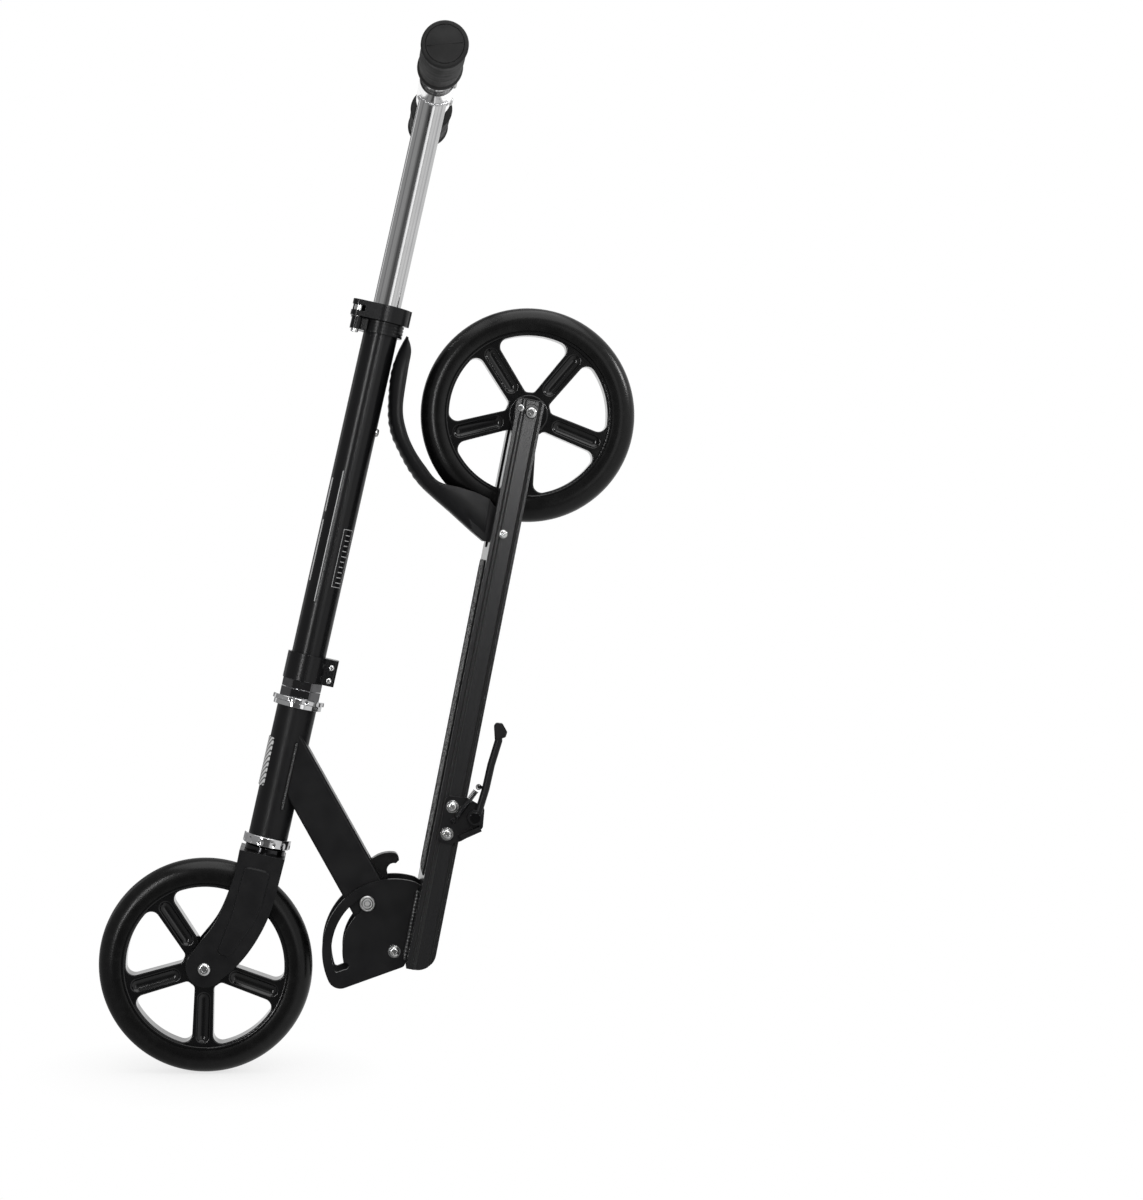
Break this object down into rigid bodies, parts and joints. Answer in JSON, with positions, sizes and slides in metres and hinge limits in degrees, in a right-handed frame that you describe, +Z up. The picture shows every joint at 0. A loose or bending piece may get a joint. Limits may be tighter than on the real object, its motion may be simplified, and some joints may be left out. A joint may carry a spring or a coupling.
{
  "type": "kick scooter",
  "caption": "Folding kick scooter, stored folded: deck and rear wheel up beside a telescopic stem, foot brake fender, kickstand, pull-out T-bar grips.",
  "frame": {"origin": "on the floor, midway between the two axles of the folded scooter", "axes": "+X towards the tail, -Y the rider's left, +Z up"},
  "size_m": [0.5008, 0.46, 0.9384],
  "materials": {
    "black_paint": "satin black powder coat",
    "black_anodised": "black anodised, satin",
    "silver_tube": "polished",
    "chrome": "bright",
    "zinc_steel": "zinc plated",
    "bearing_steel": "ground",
    "tyre_black": "smooth cast polyurethane, soft gloss",
    "core_plastic": "moulded gloss black",
    "black_plastic": "moulded matt black",
    "grip_rubber": "soft matt black",
    "tape_grit": "coarse grit sheet",
    "badge_grey": "light grey plate",
    "spring_steel": "bright wire"
  },
  "bodies": {
    "frame": {"head_tube": "black_paint", "neck": "black_paint", "head_badge": "badge_grey", "headset_cups": "chrome", "fold_bush": "zinc_steel", "lock_spring": "spring_steel"},
    "steering": {"fork": "black_paint", "fork_steerer": "bearing_steel", "headset_bearings": "bearing_steel", "dust_cap": "chrome", "headset_nuts": "chrome", "lower_stem_tube": "black_anodised", "stem_bush": "black_plastic", "stem_clamp": "black_anodised", "stem_clamp_screws": "zinc_steel", "qr_collar": "black_anodised", "qr_skewer": "zinc_steel", "height_leaf_spring": "spring_steel", "front_axle_bolt": "zinc_steel", "front_axle_nut": "zinc_steel", "front_axle_spacers": "black_plastic"},
    "qr_lever": {"qr_lever": "black_anodised"},
    "height_button": {"height_button": "zinc_steel"},
    "handlebar": {"upper_tube": "silver_tube", "t_sleeve": "silver_tube", "snap_leaf_springs": "spring_steel"},
    "left_snap_button": {"left_snap_button": "zinc_steel"},
    "right_snap_button": {"right_snap_button": "zinc_steel"},
    "left_bar": {"left_bar_tube": "silver_tube", "left_grip": "grip_rubber"},
    "right_bar": {"right_bar_tube": "silver_tube", "right_grip": "grip_rubber"},
    "front_wheel": {"front_wheel_tyre": "tyre_black", "front_wheel_core": "core_plastic", "front_wheel_bearings": "bearing_steel", "front_wheel_bearing_sleeve": "zinc_steel"},
    "rear_wheel": {"rear_wheel_tyre": "tyre_black", "rear_wheel_core": "core_plastic", "rear_wheel_bearings": "bearing_steel", "rear_wheel_bearing_sleeve": "zinc_steel"},
    "deck": {"deck": "black_anodised", "deck_end_caps": "black_plastic", "grip_tape": "tape_grit", "fold_plates": "black_paint", "deck_cross_bolts": "zinc_steel", "deck_cross_nuts": "zinc_steel", "rear_axle_bolt": "zinc_steel", "rear_axle_nut": "zinc_steel", "rear_axle_spacers": "black_plastic", "axle_retaining_screws": "zinc_steel", "kickstand_bracket": "black_paint", "kickstand_bolts": "zinc_steel", "kickstand_pin": "zinc_steel", "kickstand_spring": "spring_steel", "fender_spring": "spring_steel"},
    "kickstand": {"kickstand": "black_paint"},
    "brake_fender": {"brake_fender": "black_paint", "brake_pad": "black_plastic"},
    "fold_lock": {"lock_slider": "black_plastic", "lock_pin": "zinc_steel"}
  },
  "joints": [
    {"name": "steering_turn", "type": "hinge", "parent": "frame", "child": "steering", "pos_m": [-0.07887, 0, 0.27868], "axis": [0.2188, 0, 0.9758], "range_deg": [-50, 50]},
    {"name": "height_slide", "type": "slide", "parent": "steering", "child": "handlebar", "axis": [0.2188, 0, 0.9758], "range_m": [-0.105, 0.06]},
    {"name": "qr_lever_swing", "type": "hinge", "parent": "steering", "child": "qr_lever", "pos_m": [-0.00681, -0.016, 0.71242], "axis": [-0.2188, 0, -0.9758], "range_deg": [0, 150]},
    {"name": "height_button_press", "type": "slide", "parent": "steering", "child": "height_button", "axis": [-0.9758, 0, 0.2188], "range_m": [0, 0.003], "stiffness_N_per_m": 900, "springref_m": -0.002, "deforming": ["height_leaf_spring"]},
    {"name": "left_snap_press", "type": "slide", "parent": "handlebar", "child": "left_snap_button", "axis": [-0.9758, 0, 0.2188], "range_m": [0, 0.003], "stiffness_N_per_m": 900, "springref_m": -0.002, "deforming": ["snap_leaf_springs"]},
    {"name": "right_snap_press", "type": "slide", "parent": "handlebar", "child": "right_snap_button", "axis": [-0.9758, 0, 0.2188], "range_m": [0, 0.003], "stiffness_N_per_m": 900, "springref_m": -0.002, "deforming": ["snap_leaf_springs"]},
    {"name": "left_bar_pull", "type": "slide", "parent": "handlebar", "child": "left_bar", "axis": [0, -1, 0], "range_m": [0, 0.04]},
    {"name": "right_bar_pull", "type": "slide", "parent": "handlebar", "child": "right_bar", "axis": [0, 1, 0], "range_m": [0, 0.04]},
    {"name": "front_wheel_spin", "type": "hinge", "parent": "steering", "child": "front_wheel", "pos_m": [-0.1504, 0, 0.1], "axis": [0, 1, 0], "continuous": true},
    {"name": "fold", "type": "hinge", "parent": "frame", "child": "deck", "pos_m": [0.0255, 0, 0.1157], "axis": [0, 1, 0], "range_deg": [0, 77.66]},
    {"name": "rear_wheel_spin", "type": "hinge", "parent": "deck", "child": "rear_wheel", "pos_m": [0.15039, 0, 0.61334], "axis": [0, 1, 0], "continuous": true},
    {"name": "kickstand_swing", "type": "hinge", "parent": "deck", "child": "kickstand", "pos_m": [0.09869, -0.0602, 0.24397], "axis": [0, 1, 0], "range_deg": [0, 90], "deforming": ["kickstand_spring"]},
    {"name": "brake_press", "type": "hinge", "parent": "deck", "child": "brake_fender", "pos_m": [0.12452, 0, 0.50225], "axis": [0, 1, 0], "range_deg": [0, 4.5], "stiffness_Nm_per_rad": 12, "springref_deg": -6.88, "deforming": ["fender_spring"]},
    {"name": "lock_pull", "type": "slide", "parent": "frame", "child": "fold_lock", "axis": [-0.4886, 0, 0.8725], "range_m": [0, 0.0043], "stiffness_N_per_m": 1500, "springref_m": -0.006, "deforming": ["lock_spring"]}
  ]
}
